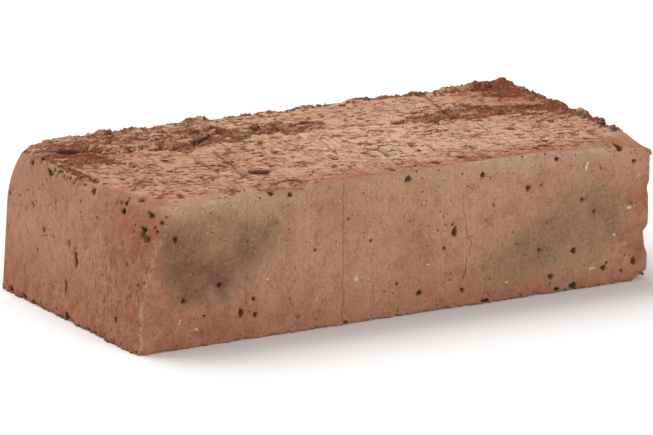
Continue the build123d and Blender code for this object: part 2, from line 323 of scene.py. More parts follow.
# Pits of the slumped corner: centre, width and depth
CORNER_PITS = [
    (5.2, 25, 59.8, 2.2, 0.8), (3.9, 21.8, 57.3, 3, 1), (7.4, 5, 48.4, 5, 0.8), (6.2, 6.9, 49.6, 4.2, 0.7),
    (10.5, 2.1, 51.7, 2.2, 0.8), (12.3, 1.2, 55.5, 2.8, 0.9), (10.2, 3.2, 53.2, 2, 0.7),
    (8.3, 23.1, 63.3, 2.2, 0.8), (4, 28, 59.2, 1.8, 0.6),
]

# Shallow chips that show the clay's redder inside
RIGHT_CHIPS = [
    (1, 18, 8, 16, 2.6), (0, 38, 6, 13, 1.5), (1, 2, 6, 5, 1.2), (118, 30, 6, 9, 1),
    (70, 59, 9, 5, 1.2, 10), (30, 60, 7, 4, 1),
]
FRONT_CHIPS = [
    (247, 12, 4, 5, 0.8, 20), (245, 3, 6, 4, 1), (231, 60.5, 6, 3, 0.6, 10),
]

# Small stones and lime grains that show in the faces, laid out as the marks are
FRONT_STONES = [
    (105, 19.5, 2.8, 2.4, 0.3), (218, 54, 1.3, 4.2, 0.3, -15), (239.5, 33, 3.2, 1.4, 0.2, 5),
    (221, 8.5, 3.4, 1.8, 0.2, 10), (232, 22, 1.6, 1.2, 0.2), (179, 8, 2.2, 1, 0.2), (86, 13, 1.4, 1.2, 0.2),
    (62, 25, 1.2, 1, 0.2), (140, 21, 1.4, 1, 0.2), (28, 8, 2.4, 1, 0.2, -40), (20, 12, 1, 2.6, 0.2, -20),
    (244, 47, 1.2, 1.6, 0.2),
]
TOP_STONES = [
    (246, 51, 3.6, 4.4, 0.4), (178, 22, 2, 3, 0.3),
]

# Lumps of clay that stand proud on the top: from left, from front, long, wide, high and turn
TOP_RIDGES = [
    (14, 110, 16, 9, 0.6, 5), (27, 114, 14, 7, 1.3), (36, 110, 13, 9, 1, 10), (48, 116, 12, 6, 2.6),
    (60, 116, 22, 7, 2.2), (76, 117, 10, 5, 0.6), (30, 104, 20, 6, 1, -30), (52, 106, 14, 5, 1.1, -10),
    (10, 101, 12, 6, 0.8), (64, 92, 16, 3, 1), (92, 117, 15, 6, 3), (110, 117, 16, 5, 0.4, 4),
    (84, 90, 14, 3, 0.9, -4), (128, 116, 12, 5, 1.1), (146, 117, 14, 4, 1.2), (162, 117, 10, 5, 0.9),
    (172, 116, 18, 6, 2.6, 4), (190, 117, 12, 5, 0.9), (203, 116, 12, 6, 1.6), (218, 115, 14, 7, 1.9, -5),
    (234, 115, 18, 8, 2.8), (244, 114, 12, 9, 3.6), (222, 100, 22, 3, 0.9, 4), (205, 92, 26, 3, 0.8),
    (180, 76, 14, 3, 0.8), (244, 86, 6, 14, 1), (246, 70, 6, 14, 3.2), (246, 50, 6, 18, 3.2),
    (120, 100, 18, 3, 0.8, -6), (20, 36, 8, 3, 0.6), (150, 88, 14, 3, 0.8), (6, 84, 6, 10, 0.9),
]

# Crumbly ledge of dragged clay at the back left, as its outline from left and front
LEDGE = [
    (2, 123), (2, 107), (7, 103), (12, 100.5), (19, 98.5), (25, 95.5), (30, 88), (37, 84), (48, 87),
    (52, 83), (60, 79), (70, 82), (80, 88), (88, 93), (97, 99), (97, 110), (84, 123),
]

LEDGE_HEIGHT = 1.3

# Grooves dragged over the top: start and end from left and front, half the width, and depth
DRAG_LINES = [
    (64, 22, 76, 72, 1.5, 0.5), (41, 50, 48, 86, 0.9, 0.4), (33, 54, 39, 88, 0.8, 0.35),
    (57, 30, 64, 78, 1.0, 0.4), (93, 32, 99, 70, 0.8, 0.3), (105.7, 27, 111.1, 72, 1.0, 0.4),
    (118, 36, 125.7, 69, 1.0, 0.35), (15, 50, 23, 90, 0.8, 0.35), (14, 22, 22, 56, 0.7, 0.3),
    (28, 48, 31, 70, 0.7, 0.25), (44, 62, 47, 84, 0.7, 0.3), (6, 34, 11, 72, 0.8, 0.3),
    (46, 20, 54, 64, 0.8, 0.3), (59, 40, 66, 76, 0.7, 0.25), (78, 8, 82.8, 36, 1.0, 0.4),
    (104, 2, 107, 20, 1.0, 0.4), (135.2, 24, 138.5, 44, 1.6, 0.5), (195.7, 76, 206.2, 121, 1.6, 0.5),
    (164.5, 38, 167, 70, 1.0, 0.35), (191, 6, 199, 61, 1.0, 0.4), (219.5, 96, 221.5, 124, 0.9, 0.35),
    (217, 22, 219, 47, 0.8, 0.3), (180, 2, 190, 34, 0.8, 0.3), (142, 100, 145, 118, 0.9, 0.35),
    (152, 46, 157, 74, 0.8, 0.3), (174, 92, 178, 118, 0.8, 0.3), (207, 8, 211, 34, 0.7, 0.25),
    (232, 18, 235, 48, 0.7, 0.25), (84, 44, 88, 64, 0.7, 0.25), (28, 20, 33, 44, 0.7, 0.25),
    (112, 58, 117, 76, 0.7, 0.3), (50, 54, 56, 80, 0.7, 0.25), (24, 62, 29, 84, 0.7, 0.25),
]

# Shaded foot of the ledge, laid out as the grooves are
LEDGE_FOOT = [
    (3, 107, 12, 100.5, 0.9, 0.7), (12, 100.5, 25, 95.5, 0.9, 0.8), (25, 95.5, 31, 87, 0.8, 0.7),
    (31, 87, 38, 83.5, 0.8, 0.8), (38, 83.5, 48, 87, 0.9, 1.0), (52, 83, 60, 79, 0.8, 0.8),
    (60, 79, 70, 82, 0.8, 0.8), (72, 83, 88, 93, 1.0, 1.1),
]


def face_point(face, first, second):
    """Point of a mark in the clay, and the directions along, up and out of its face."""
    if face == "front":
        return (first, 0, second), (1, 0, 0), (0, 0, 1), (0, -1, 0)
    if face == "back":
        return (first, WIDTH, second), (1, 0, 0), (0, 0, 1), (0, 1, 0)
    if face == "left":
        lean = LEFT_LEAN * second / TOP
        return (lean, WIDTH - first, second), (0, -1, 0), (0, 0, 1), (-1, 0, 0)
    if face == "right":
        return (LENGTH, first, second), (0, 1, 0), (0, 0, 1), (1, 0, 0)
    return (first, second, TOP - top_fall(first, second)), (1, 0, 0), (0, 1, 0), (0, 0, 1)


def pressed_marks(place, faces, flat, edge):
    """Size in millimetres of listed bowls or lumps, full inside flat and nought outside edge."""
    depth = np.zeros(len(place))
    for face, marks in faces.items():
        for first, second, long, wide, deep, *turn in marks:
            spot = face_point(face, first, second)
            centre, along, up, out = (np.array(measures, dtype=float) for measures in spot)
            angle = radians(turn[0] if turn else 0)
            axis_long = along * cos(angle) + up * sin(angle)
            axis_wide = up * cos(angle) - along * sin(angle)
            reach = max(long, wide)
            near = np.flatnonzero(np.all(np.abs(place - centre) < reach + 6, axis=1))
            away = place[near] - centre
            side = away - np.outer(away @ out, out)
            proud = away[np.argmin(np.linalg.norm(side, axis=1) + 0.1 * np.abs(away @ out))] @ out
            centre += proud * out
            away = place[near] - centre
            part_long = away @ axis_long / (long / 2)
            part_wide = away @ axis_wide / (wide / 2)
            part_out = away @ out / reach
            bearing = np.arctan2(part_wide, part_long)
            uneven = 1 + 0.16 * np.sin(3 * bearing + first) + 0.10 * np.sin(5 * bearing + second)
            radius = np.sqrt(part_long**2 + part_wide**2 + part_out**2) / uneven
            bowl = deep * smooth_step(radius, edge, flat)
            depth[near] = np.maximum(depth[near], bowl)
    return depth


def corner_pits(place):
    """Depth of the pits on the slumped corner, each sunk at the nearest of its clay."""
    depth = np.zeros(len(place))
    for x, y, z, wide, deep in CORNER_PITS:
        centre = place[np.argmin(np.linalg.norm(place - (x, y, z), axis=1))]
        away = np.linalg.norm(place - centre, axis=1) / (wide / 2)
        depth = np.maximum(depth, deep * smooth_step(away, 1.0, 0.3))
    return depth


def dragged_lines(place, lines):
    """Depth of grooves in the top, such as dragged grit leaves."""
    depth = np.zeros(len(place))
    for number, (x_from, y_from, x_to, y_to, half, deep) in enumerate(lines):
        run = np.array([x_to - x_from, y_to - y_from], dtype=float)
        length = np.hypot(*run)
        run /= length
        away = place[:, :2] - (x_from, y_from)
        along = away @ run
        wobble = 0.35 * np.sin(along / 5 + number) + 0.2 * np.sin(along / 1.9 + 2 * number)
        across = np.abs(away[:, 0] * run[1] - away[:, 1] * run[0] + wobble)
        fade = smooth_step(along, -1, 3) * smooth_step(along, length + 1, length - 3)
        depth = np.maximum(depth, deep * fade * smooth_step(across, half, 0.3 * half))
    return depth


def patch(first, second, outline, softness):
    """Share inside a closed outline of points, with an edge softened over some millimetres."""
    outline = np.array(outline, dtype=float)
    distance = np.full(len(first), 1e9)
    inside = np.zeros(len(first), dtype=bool)
    for start, end in zip(outline, np.roll(outline, -1, axis=0)):
        run = end - start
        away_first, away_second = first - start[0], second - start[1]
        share = np.clip((away_first * run[0] + away_second * run[1]) / (run @ run), 0, 1)
        gap = np.hypot(away_first - share * run[0], away_second - share * run[1])
        distance = np.minimum(distance, gap)
        crosses = (start[1] > second) != (end[1] > second)
        steep = run[1] if run[1] != 0 else 1e-9
        inside ^= crosses & (first < start[0] + run[0] * (second - start[1]) / steep)
    return smooth_step(np.where(inside, distance, -distance), -softness, softness)


# Torn bands on the top: centre from left and front, half length, half width, and turn
TORN_BANDS = [
    (20, 78, 18, 3, 0), (5, 60, 4, 26, 0), (38, 1, 28, 2.2, 0), (74, 29, 6, 5, -28),
    (247, 60, 5, 40, 0), (188, 118, 40, 4, 0), (120, 118, 30, 3, 0),
]

# Wider torn areas of the top, as their outlines from left and front
TORN_AREAS = [
    [(-1, 92), (13, 103), (18, 99), (34, 86), (36, 78), (26, 71), (14, 69), (6, 73), (-2, 82)],
    [
        (68, 80), (85, 77), (100, 80), (111, 79), (123, 79), (139, 81), (143, 91), (125, 98), (97, 99),
        (78, 88),
    ],
    [
        (168, 79), (180, 87), (191, 86), (212, 87), (225, 84), (249, 74), (252, 52), (237, 53),
        (223, 62), (205, 67), (184, 65), (169, 72),
    ],
    [(226, 124), (223, 108), (229, 95), (237, 84), (252, 74), (252, 124)],
]


def torn_share(place, top):
    """How far the wire tore the top at each point, from none to fully."""
    along, inward, _ = place.T
    share = 0.52 * patch(along, inward, LEDGE, 1.5)
    for outline in TORN_AREAS:
        share = np.maximum(share, 0.78 * patch(along, inward, outline, 8))
    for from_left, from_front, half_long, half_wide, turn in TORN_BANDS:
        angle = radians(turn)
        right, back = along - from_left, inward - from_front
        part_long = (right * cos(angle) + back * sin(angle)) / half_long
        part_wide = (back * cos(angle) - right * sin(angle)) / half_wide
        share = np.maximum(share, smooth_step(np.hypot(part_long, part_wide), 1.25, 0.45))
    return share * top


# Grey flashes and the scorch between them, as outlines by the place along and the height
FLASH_LEFT = [
    (10, 50), (14, 56), (30, 57.5), (54, 56), (77, 55), (70, 45), (62, 34), (58, 29.5), (50, 26),
    (41, 20), (28, 18), (16, 22), (12, 36),
]
FLASH_LEFT_CORE = [(50, 50), (72, 54), (67, 42), (57, 34), (44, 30), (46, 40)]
FLASH_RIGHT = [
    (160, 9), (166, 20), (186, 31), (206, 45), (228, 46), (240, 36), (236, 20), (222, 13), (190, 9),
]
FLASH_RIGHT_CORE = [(182, 12), (186, 26), (200, 34), (206, 24), (196, 12)]
FLASH_BACK = [(70, 14), (84, 46), (130, 52), (170, 40), (150, 14), (110, 8)]
SCORCH = [(12, 50), (13, 24), (22, 18), (41, 20), (52, 27), (42, 34), (30, 40), (26, 50)]

# Redder clay: the face, its share there, and the ramps that it grows by
RED_AREAS = [
    ("front", 0.5, (UP, 16, 2), (ALONG, 120, 165)),
    ("front", 0.62, (UP, 30, 6), (ALONG, 110, 30)),
    ("front", 0.62, (UP, 56, 46), (ALONG, 24, 6)),
    ("front", 0.6, (UP, 52, 40), (ALONG, 236, 246)),
    ("left", 0.75, (INWARD, 70, 8)),
    ("top", 0.8, (INWARD, 30, 3)),
    ("top", 0.3, (INWARD, 70, 100)),
    ("top", 0.55, (ALONG, 140, 50)),
    ("right", 0.6),
    ("back", 0.35, (UP, 24, 4)),
]

# Hairline crack down the front: height and place along
CRACK = [(6, 157.2), (11, 155), (16, 158.2), (21, 160), (25, 161.8), (30, 160), (38, 158.8), (47, 157.6)]

# Bead along the near corner, where the skins of the two faces meet, pale partly as skin and partly as a
# painted highlight on the arris: height and place along
BEAD = [(0, 1.6), (10, 1.8), (20, 2.2), (30, 4.2), (38, 7.2), (44, 9.0), (50, 12.0), (55, 14.5)]


def face_lines(place, front):
    """Signed distances to the crack and the bead, and where along them they show."""
    along, inward, up = place.T
    crack = along - np.interp(up, *zip(*CRACK))
    bead = along - 0.6 * inward - np.interp(up, *zip(*BEAD))
    near_crack = front * grown(place, (UP, 5, 8), (UP, 48, 44))
    near_bead = smooth_step(along + inward, 19, 15) * grown(place, (UP, 55, 49))
    return crack, near_crack, bead, near_bead


def facing(normal):
    """Share by which each point of the clay belongs to each face."""
    left, front, below = -normal.T
    faces = {"front": front, "back": -front, "left": left, "right": -left, "top": -below}
    return {name: smooth_step(share, 0.5, 0.9) for name, share in faces.items()}


def kiln_marks(place, normal):
    """Shares of grey flash, scorched clay, red clay and pale skin at each point."""
    along, _, up = place.T
    faces = facing(normal)
    front, back, left, top, right = (faces[name] for name in ("front", "back", "left", "top", "right"))
    flash = 0.78 * patch(along, up, FLASH_LEFT, 5) + 0.3 * patch(along, up, FLASH_LEFT_CORE, 6)
    flash += 0.8 * patch(along, up, FLASH_RIGHT, 5) + 0.25 * patch(along, up, FLASH_RIGHT_CORE, 5)
    flash = flash * front + 0.6 * patch(along, up, FLASH_BACK, 9) * back
    scorch = front * patch(along, up, SCORCH, 5)

    red = left * (0.2 + 0.55 * grown(place, (UP, 34, 4)))
    far_red = 0.3 + 0.7 * grown(place, (INWARD, 40, 80))
    red = np.maximum(red, 0.95 * top * grown(place, (ALONG, 185, 240)) * far_red)
    for face, share, *ramps in RED_AREAS:
        red = np.maximum(red, faces[face] * share * grown(place, *ramps))
    red = np.maximum(red, 0.8 * grown(place, (ALONG, 26, 5), (INWARD, 40, 5), (UP, 34, 50)))

    band = grown(place, (UP, 55.5, 60)) * smooth_step(-normal[:, 1], 0.15, 0.5)
    ends = np.maximum(grown(place, (ALONG, 120, 170)), grown(place, (ALONG, 70, 50)))
    pale = band * (0.35 + 0.65 * ends * grown(place, (ALONG, 8, 16)))
    pale = np.maximum(pale, 0.12 * left * grown(place, (INWARD, 30, 80), (UP, 8, 30)))
    pale = np.maximum(pale, 0.6 * right * grown(place, (INWARD, 8, 0), (UP, 20, 60)))
    return flash, scorch, red, pale


# Width of the smooth skin that folds over the front arris, by place along
SKIN_FOLD = [(0, 3), (12, 1), (20, -1), (72, -1), (84, 1.5), (98, 7), (115, 5), (135, 3.4), (250, 4.4)]


def beyond_skin(place):
    """Share of the top behind the smooth skin that folds over its front arris in a wavy line."""
    along, inward, _ = place.T
    waves = 1.1 * np.sin(along / 7.3) + 0.8 * np.sin(along / 3.1 + 1) + 0.5 * np.sin(along / 1.7 + 2)
    wide = np.interp(along, *zip(*SKIN_FOLD))
    return smooth_step(inward - wide - waves, -0.4, 1.0)


def wire_arris(place):
    """Nearness to the arrises that the wire left ragged: all of the lower ones, and three above."""
    along, inward, up = place.T
    to_top = TOP - top_fall(along, inward) - up
    to_left = along - LEFT_LEAN * up / TOP
    to_ends = np.minimum(to_left, LENGTH - along)
    to_back = WIDTH - inward
    low = np.hypot(up, np.minimum(to_ends, np.minimum(inward, to_back)))
    high = np.hypot(to_top, np.minimum(to_ends, to_back))
    calm = 6 * grown(place, (INWARD, 52, 36))
    high = np.where(np.hypot(to_top, to_left) <= high + 1e-6, high + calm, high)
    return smooth_step(low, 3.4, 0.4), smooth_step(high, 4.2, 0.4)


class Wire:
    """A value that one node hands to others, reckoned with like a number."""

    def __init__(self, maker, socket):
        self.maker = maker
        self.socket = socket

    def __add__(self, other):
        return self.maker.math("ADD", self, other)

    def __sub__(self, other):
        return self.maker.math("SUBTRACT", self, other)

    def __rsub__(self, other):
        return self.maker.math("SUBTRACT", other, self)

    def __mul__(self, other):
        return self.maker.math("MULTIPLY", self, other)

    def __abs__(self):
        return self.maker.math("ABSOLUTE", self)

    __radd__ = __add__
    __rmul__ = __mul__


class Maker:
    """Adds nodes to one tree, fed with plain values or with other nodes' wires."""

    def __init__(self, tree):
        self.tree = tree

    def feed(self, socket, value):
        """Links or sets one input."""
        if isinstance(value, Wire):
            self.tree.links.new(value.socket, socket)
        else:
            socket.default_value = value

    def node(self, kind, *values, named=None, **settings):
        """A new node with its settings, its first inputs fed in order and others by name."""
        made = self.tree.nodes.new(kind)
        for name, value in settings.items():
            setattr(made, name, value)
        for socket, value in zip(made.inputs, values):
            self.feed(socket, value)
        for name, value in (named or {}).items():
            self.feed(made.inputs[name], value)
        return made

    def wire(self, kind, *values, output=0, **more):
        """One wire out of a new node."""
        return Wire(self, self.node(kind, *values, **more).outputs[output])

    def math(self, operation, *values):
        """Arithmetic on plain numbers."""
        return self.wire("ShaderNodeMath", *values, operation=operation)

    def vector(self, operation, *values):
        """Arithmetic on places."""
        return self.wire("ShaderNodeVectorMath", *values, operation=operation)

    def scaled(self, vector, amount):
        """A place or a colour, made larger or smaller."""
        return self.wire("ShaderNodeVectorMath", vector, operation="SCALE", named={"Scale": amount})

    def measures(self, vector):
        """The three measures of a place."""
        return [Wire(self, output) for output in self.node("ShaderNodeSeparateXYZ", vector).outputs]

    def joined(self, first, second=0.0, third=0.0):
        """A place from its three measures."""
        return self.wire("ShaderNodeCombineXYZ", first, second, third)

    def step(self, value, low, high):
        """Zero under low, one over high, and a soft rise between. It falls where low is the larger."""
        return self.wire("ShaderNodeMapRange", value, low, high, interpolation_type="SMOOTHSTEP")

    def noise(self, place, size, detail=2.0, roughness=0.5, warp=0.0):
        """Cloudy noise from nought to one, with lumps of about the size given on each axis."""
        named = {"Scale": 1.0, "Detail": detail, "Roughness": roughness, "Distortion": warp}
        return self.wire("ShaderNodeTexNoise", self.vector("DIVIDE", place, size), named=named)

    def cells(self, place, size):
        """Distance to the nearest of scattered points, and two random numbers for that point."""
        made = self.node("ShaderNodeTexVoronoi", self.vector("DIVIDE", place, size), named={"Scale": 1.0})
        chance, another, _ = self.measures(Wire(self, made.outputs["Color"]))
        return Wire(self, made.outputs["Distance"]), chance, another


# How far the wire's drag slants to the right for each millimetre inwards
DRAG_SLANT = 0.17


def slanted(maker, place):
    """Places sheared so that the wire's slightly slanting drag runs straight."""
    along, inward, up = maker.measures(place)
    return maker.joined(along - DRAG_SLANT * inward, inward, up)


def ragged(maker, place, share):
    """Torn share with broken outlines, and with a few small patches of its own."""
    broken = maker.noise(place, (10.0, 5.5, 9.0), detail=6.0, roughness=0.66, warp=0.4)
    return maker.step(share + 3.6 * (broken - 0.5), 0.40, 0.62)


def scattered(maker, distance, radius, core, chance, missing):
    """Round marks about scattered points, soft outside their core, with a share of them missing."""
    return maker.step(distance, radius, core * radius) * maker.step(chance, missing, missing + 0.02)


def dashes(maker, place):
    """Short crisp tears, drawn out along the brick."""
    bend = 9.0 * (maker.noise(place, (3.2, 3.2, 3.2), detail=4.0, roughness=0.65) - 0.5)
    bent = maker.vector("ADD", place, maker.joined(bend, -0.6 * bend))
    distance, chance, size = maker.cells(bent, (3.4, 2.1, 3.0))
    return scattered(maker, distance, 0.09 + size * size * 0.42, 0.7, chance, 0.28)


def torn_patches(maker, place, torn):
    """Small torn patches of the wire-cut beds, thick in the torn bands."""
    lumps = maker.noise(place, (4.4, 2.6, 4.4), detail=5.0, roughness=0.58, warp=0.15)
    busy = maker.noise(place, (18.0, 11.0, 18.0), detail=3.0)
    limit = 0.588 - 0.06 * torn - 0.45 * (busy - 0.5)
    return maker.step(lumps - limit, 0.0, 0.012)


def drags(maker, place):
    """Long narrow grooves of the wire's drag."""
    fine = maker.noise(slanted(maker, place), (3.4, 170.0, 40.0), detail=1.0)
    where = maker.step(maker.noise(place, (16.0, 34.0, 20.0), detail=1.0), 0.44, 0.54)
    return maker.step(abs(fine - 0.5), 0.016, 0.003) * where


def crumbs(maker, place):
    """Crumbled clay of the torn bands."""
    return maker.noise(place, (7.5, 4.6, 6.0), detail=6.0, roughness=0.70, warp=0.6)


def die_pits(maker, place):
    """Scattered small pits of the smooth faces, drawn out along the die."""
    distance, chance, size = maker.cells(place, (2.8, 2.8, 3.4))
    return scattered(maker, distance, 0.07 + size * size * 0.20, 0.5, chance, 0.50)


def pin_holes(maker, place):
    """Pin-sized holes of the fired skin, which the paint darkens as painted shade."""
    distance, chance, size = maker.cells(place, (1.5, 1.5, 1.8))
    return scattered(maker, distance, 0.10 + size * 0.16, 0.5, chance, 0.62)


# Depths of the worn relief in millimetres
RELIEF_SIZES = {
    "Drag depth": 0.15,
    "Tear depth": 0.3,
    "Crumb depth": 6.0,
    "Torn hollow": 0.4,
    "Pit depth": 0.5,
    "Arris wear": 3.0,
    "Sway": 0.9,
}

# How far each step of the seed moves the clay through the noise
SEED_SHIFT = (13.1, 7.7, 3.3)


def worn_relief(maker, kept, sized, place):
    """How deep the clay is worn at each point, in millimetres. Lumps that stand proud take away."""
    bed = kept("bed_share")
    torn = ragged(maker, place, kept("torn_share")) * bed
    crumb = crumbs(maker, place)
    torn_out = maker.math("MAXIMUM", torn_patches(maker, place, torn), dashes(maker, place))
    nibbles = maker.noise(place, (2.4, 2.4, 2.4), detail=4.0, roughness=0.66)
    bites = maker.noise(place, (8.0, 8.0, 8.0), detail=2.0)
    sway = maker.noise(place, (42.0, 42.0, 42.0), detail=1.0)
    depth = kept("pressed_depth")
    depth += drags(maker, place) * bed * sized("Drag depth")
    depth += torn_out * bed * sized("Tear depth")
    depth += (crumb - 0.46) * torn * sized("Crumb depth")
    depth += torn * sized("Torn hollow")
    depth -= kept("ridge_height") * (1.0 + 4.0 * (crumb - 0.5))
    depth -= kept("tooth_height") + kept("stone_height")
    depth += kept("chip_depth")
    depth += die_pits(maker, place) * (1.0 - bed) * sized("Pit depth")
    depth += (2.0 * (nibbles - 0.48) + (bites - 0.5)) * kept("arris_share") * sized("Arris wear")
    depth += (sway - 0.5) * sized("Sway")
    return depth


def relief_tree():
    """Geometry Nodes that wear the relief into the clay, along the way out of its faces."""
    tree = bpy.data.node_groups.new("clay_relief", "GeometryNodeTree")
    sockets = tree.interface
    sockets.new_socket("Geometry", in_out="OUTPUT", socket_type="NodeSocketGeometry")
    kinds = {"Geometry": "NodeSocketGeometry", "Seed": "NodeSocketInt", "Material": "NodeSocketMaterial"}
    kinds.update({name: "NodeSocketFloat" for name in RELIEF_SIZES})
    keys = {}
    for name, kind in kinds.items():
        keys[name] = sockets.new_socket(name, in_out="INPUT", socket_type=kind).identifier
    maker = Maker(tree)
    given = maker.node("NodeGroupInput")

    def sized(name):
        return Wire(maker, given.outputs[name])

    def kept(name, kind="FLOAT"):
        return maker.wire("GeometryNodeInputNamedAttribute", name, data_type=kind)

    shift = maker.scaled(SEED_SHIFT, sized("Seed"))
    place = maker.vector("ADD", kept("clay_place", "FLOAT_VECTOR"), shift)
    depth = worn_relief(maker, kept, sized, place)
    inwards = maker.scaled(kept("way_out", "FLOAT_VECTOR"), depth * -MM)
    body = maker.wire("GeometryNodeSetPosition", sized("Geometry"), named={"Offset": inwards})
    along, inward, up = maker.measures(maker.wire("GeometryNodeInputPosition"))
    on_floor = maker.joined(along, inward, maker.math("MAXIMUM", up, 0.0))
    body = maker.wire("GeometryNodeSetPosition", body, named={"Position": on_floor})
    for name, kind, value in (("grain_place", "FLOAT_VECTOR", place), ("worn_depth", "FLOAT", depth)):
        named = {"Name": name, "Value": value}
        body = maker.wire("GeometryNodeStoreNamedAttribute", body, data_type=kind, named=named)
    body = maker.wire("GeometryNodeRealizeInstances", body)
    body = maker.wire("GeometryNodeSetMaterial", body, named={"Material": sized("Material")})
    maker.node("NodeGroupOutput", body)
    return tree, keys


def store(mesh, name, values, kind="FLOAT"):
    """Keeps a value for each point of a mesh."""
    attribute = mesh.attributes.new(name, kind, "POINT")
    field = "vector" if kind == "FLOAT_VECTOR" else "value"
    attribute.data.foreach_set(field, np.ascontiguousarray(values, dtype=np.float32).ravel())


def clay_mesh(place, quads, uvs):
    """Plain mesh of the places, with its map."""
    origin = np.array([brick_low[0], brick_low[1], 0.0])
    mesh = bpy.data.meshes.new("clay_body")
    mesh.vertices.add(len(place))
    mesh.vertices.foreach_set("co", ((place + origin) * MM).astype(np.float32).ravel())
    mesh.loops.add(quads.size)
    mesh.loops.foreach_set("vertex_index", quads.astype(np.int32).ravel())
    mesh.polygons.add(len(quads))
    mesh.polygons.foreach_set("loop_start", np.arange(0, quads.size, 4, dtype=np.int32))
    mesh.update(calc_edges=True)
    chart = mesh.uv_layers.new(name="OFBake")
    chart.data.foreach_set("uv", uvs.astype(np.float32).ravel())
    return mesh


def relief_values(place, top):
    """Listed relief at each point: clay pressed in or standing proud, and worn arrises."""
    pits = {"front": FRONT_MARKS, "left": LEFT_MARKS, "back": BACK_MARKS, "right": RIGHT_MARKS}
    teeth, tooth_shadow_hollows = hanging_teeth(place)
    pressed = pressed_marks(place, pits, flat=0.35, edge=1.1)
    pressed = pressed + pressed_marks(place, {"top": TOP_MARKS}, flat=0.1, edge=1.25)
    grooves = top * np.maximum(dragged_lines(place, DRAG_LINES), dragged_lines(place, LEDGE_FOOT))
    ledge = patch(place[:, ALONG], place[:, INWARD], LEDGE, 1.0) * top
    ledge_height = LEDGE_HEIGHT * ledge * grown(place, (ALONG, 2, 24), (INWARD, 116, 106))
    ridges = pressed_marks(place, {"top": TOP_RIDGES}, flat=0.1, edge=1.35)
    chips = {"right": RIGHT_CHIPS, "front": FRONT_CHIPS}
    stones = {"front": FRONT_STONES, "top": TOP_STONES}
    low_arris, high_arris = wire_arris(place)
    left_wear = 0.7 + 0.5 * (place[:, ALONG] < 6)
    return {
        # The pressed depth also darkens the paint as painted shade in the pits, marks and grooves, and as a
        # painted shadow in the hollows under the teeth
        "pressed_depth": pressed + corner_pits(place) + grooves + tooth_shadow_hollows,
        "chip_depth": pressed_marks(place, chips, flat=0.3, edge=1.1),
        "ridge_height": np.maximum(ridges, ledge_height),
        "tooth_height": teeth,
        "stone_height": pressed_marks(place, stones, flat=0.6, edge=1.0),
        "arris_share": np.maximum(low_arris * left_wear, high_arris),
        "ledge_share": ledge,
        "torn_share": torn_share(place, top),
    }


def colour_values(place, normal):
    """What only the colours read at each point: kiln marks, scratches and the lines of the faces."""
    faces = facing(normal)
    front, left = faces["front"], faces["left"]
    flash, scorch, red, pale = kiln_marks(place, normal)
    crack, near_crack, bead, near_bead = face_lines(place, front)
    return {
        "front_share": front,
        "left_share": left,
        "flash_share": flash,
        "scorch_share": scorch,
        "red_share": red,
        "pale_share": pale,
        "blue_share": front * grown(place, (ALONG, 120, 140), (ALONG, 218, 200), (UP, 34, 44)),
        "scratched_share": left * grown(place, (INWARD, 55, 30), (UP, 48, 34)),
        "crack_offset": crack,
        "crack_share": near_crack,
        "bead_offset": bead,
        "bead_share": near_bead,
    }


def clay_body():
    """The brick's closed mesh before its relief, with what the relief and the colours read."""
    shares, quads, uvs, sides = brick_lattice()
    before = out_of_true(rounded(shares))
    place = slumped(before)
    mesh = clay_mesh(place, quads, uvs)
    mark_chart_seams(mesh, sides)
    normal = np.zeros(len(place) * 3, dtype=np.float32)
    mesh.vertices.foreach_get("normal", normal)
    normal = normal.reshape(-1, 3)
    sagged = np.linalg.norm(place - before, axis=1) * (place[:, INWARD] < WIDTH / 2)
    top = smooth_step(normal[:, UP], 0.45, 0.85) * beyond_skin(place) * smooth_step(sagged, 2.2, 0.6)
    values = {"bed_share": np.maximum(smooth_step(-normal[:, UP], 0.45, 0.85), top)}
    values.update(relief_values(place, top))
    values.update(colour_values(place, normal))
    for name, value in values.items():
        store(mesh, name, value)
    store(mesh, "clay_place", place - (LENGTH / 2, WIDTH / 2, 0), "FLOAT_VECTOR")
    store(mesh, "way_out", normal, "FLOAT_VECTOR")
    return mesh


def mark_chart_seams(mesh, sides):
    """Marks the edges where two rectangles of the map meet, so that thinning keeps them apart."""
    loop_edges = np.zeros(len(mesh.loops), dtype=np.int32)
    mesh.loops.foreach_get("edge_index", loop_edges)
    loop_sides = np.repeat(sides, 4)
    lowest = np.full(len(mesh.edges), 99)
    highest = np.full(len(mesh.edges), -1)
    np.minimum.at(lowest, loop_edges, loop_sides)
    np.maximum.at(highest, loop_edges, loop_sides)
    mesh.edges.foreach_set("use_seam", lowest != highest)


def fired_brick(material):
    """The finished brick as a plain mesh: relief worn in, then thinned to its triangles."""
    tree, keys = relief_tree()
    raw = bpy.data.objects.new("raw_brick", clay_body())
    bpy.context.collection.objects.link(raw)
    relief = raw.modifiers.new("relief", "NODES")
    relief.node_group = tree
    for name, size in RELIEF_SIZES.items():
        relief[keys[name]] = size
    relief[keys["Seed"]] = SEED
    relief[keys["Material"]] = material
    thinning = raw.modifiers.new("thinning", "DECIMATE")
    thinning.ratio = KEPT_TRIANGLES / (2 * len(raw.data.polygons))
    graph = bpy.context.evaluated_depsgraph_get()
    shown = raw.evaluated_get(graph)
    mesh = bpy.data.meshes.new_from_object(shown, preserve_all_data_layers=True, depsgraph=graph)
    bpy.data.objects.remove(raw)
    mesh.shade_smooth()
    brick = bpy.data.objects.new("fired_brick", mesh)
    bpy.context.collection.objects.link(brick)
    return brick


def colour(red, green, blue):
    """A colour by its display values from 0 to 255, as the shader's linear values."""
    shares = (value / 255 for value in (red, green, blue))
    linear = [share / 12.92 if share <= 0.04045 else ((share + 0.055) / 1.055) ** 2.4 for share in shares]
    return (*linear, 1)
